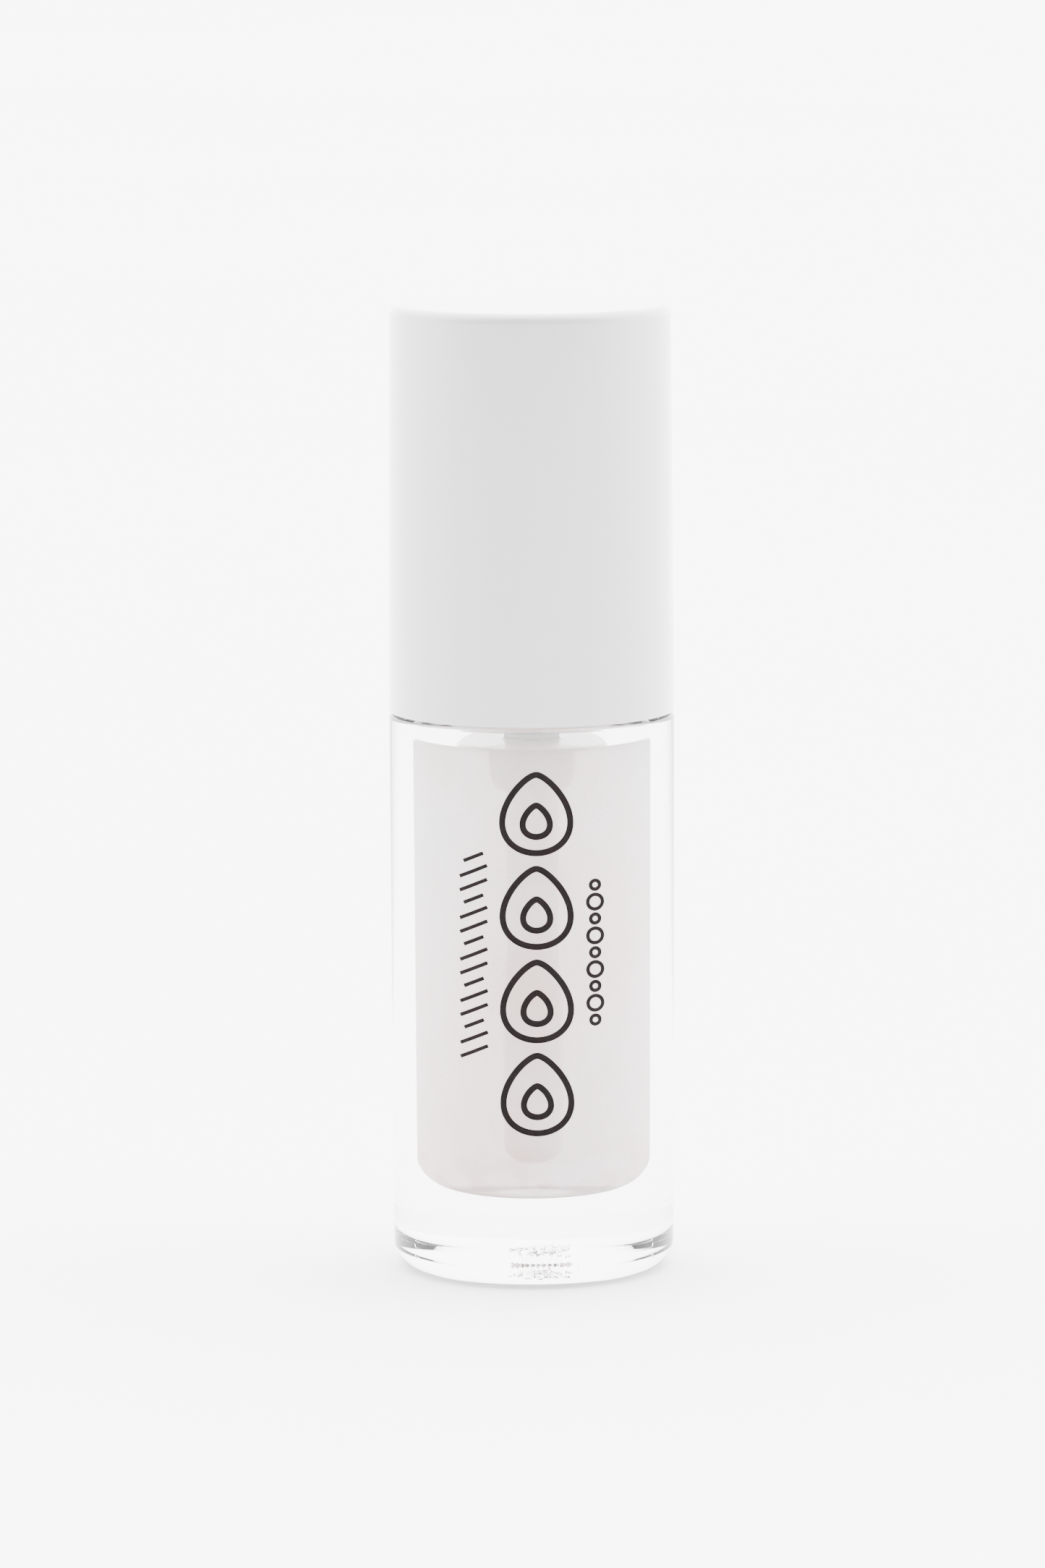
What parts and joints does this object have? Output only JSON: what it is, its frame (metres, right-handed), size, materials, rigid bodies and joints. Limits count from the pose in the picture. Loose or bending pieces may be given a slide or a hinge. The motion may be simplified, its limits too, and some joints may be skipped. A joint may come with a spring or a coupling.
{
  "type": "lip gloss tube",
  "caption": "Round thick-walled clear lip gloss tube with a tall screw cap, neck wiper and flocked wand.",
  "frame": {"origin": "middle of the bottle's base, on the surface it stands on", "axes": "+Z along the tube's axis from the base to the top of the cap; the ornament is on the -Y side"},
  "size_m": [0.022, 0.022, 0.0747],
  "materials": {
    "clear_bottle": "clear polished copolyester",
    "pearl_gloss": "translucent pearly liquid",
    "natural_wiper": "translucent natural polyethylene",
    "gasket_foam": "foamed polyethylene",
    "pale_cap": "smooth satin moulded plastic",
    "white_insert": "moulded polypropylene",
    "wand_plastic": "moulded polypropylene",
    "applicator_plastic": "soft thermoplastic",
    "flocking": "short nylon flock wetted with gloss"
  },
  "bodies": {
    "bottle": {"bottle": "clear_bottle", "wiper": "natural_wiper", "lip_oil": "pearl_gloss"},
    "gasket": {"sealing_gasket": "gasket_foam"},
    "cap": {"outer_cap": "pale_cap", "inner_cap": "white_insert", "wand_stem": "wand_plastic", "applicator_core": "applicator_plastic", "applicator_flock": "flocking"}
  },
  "joints": [
    {"name": "cap_lift", "type": "slide", "parent": "bottle", "child": "gasket", "axis": [0, 0, 1], "range_m": [0, 0.048]},
    {"name": "cap_twist", "type": "hinge", "parent": "gasket", "child": "cap", "pos_m": [0, 0, 0], "axis": [0, 0, 1], "range_deg": [0, 5760]}
  ],
  "couplings": [
    {"joint": "cap_lift", "follows": "cap_twist", "m_per_rad": 0.00047746}
  ]
}
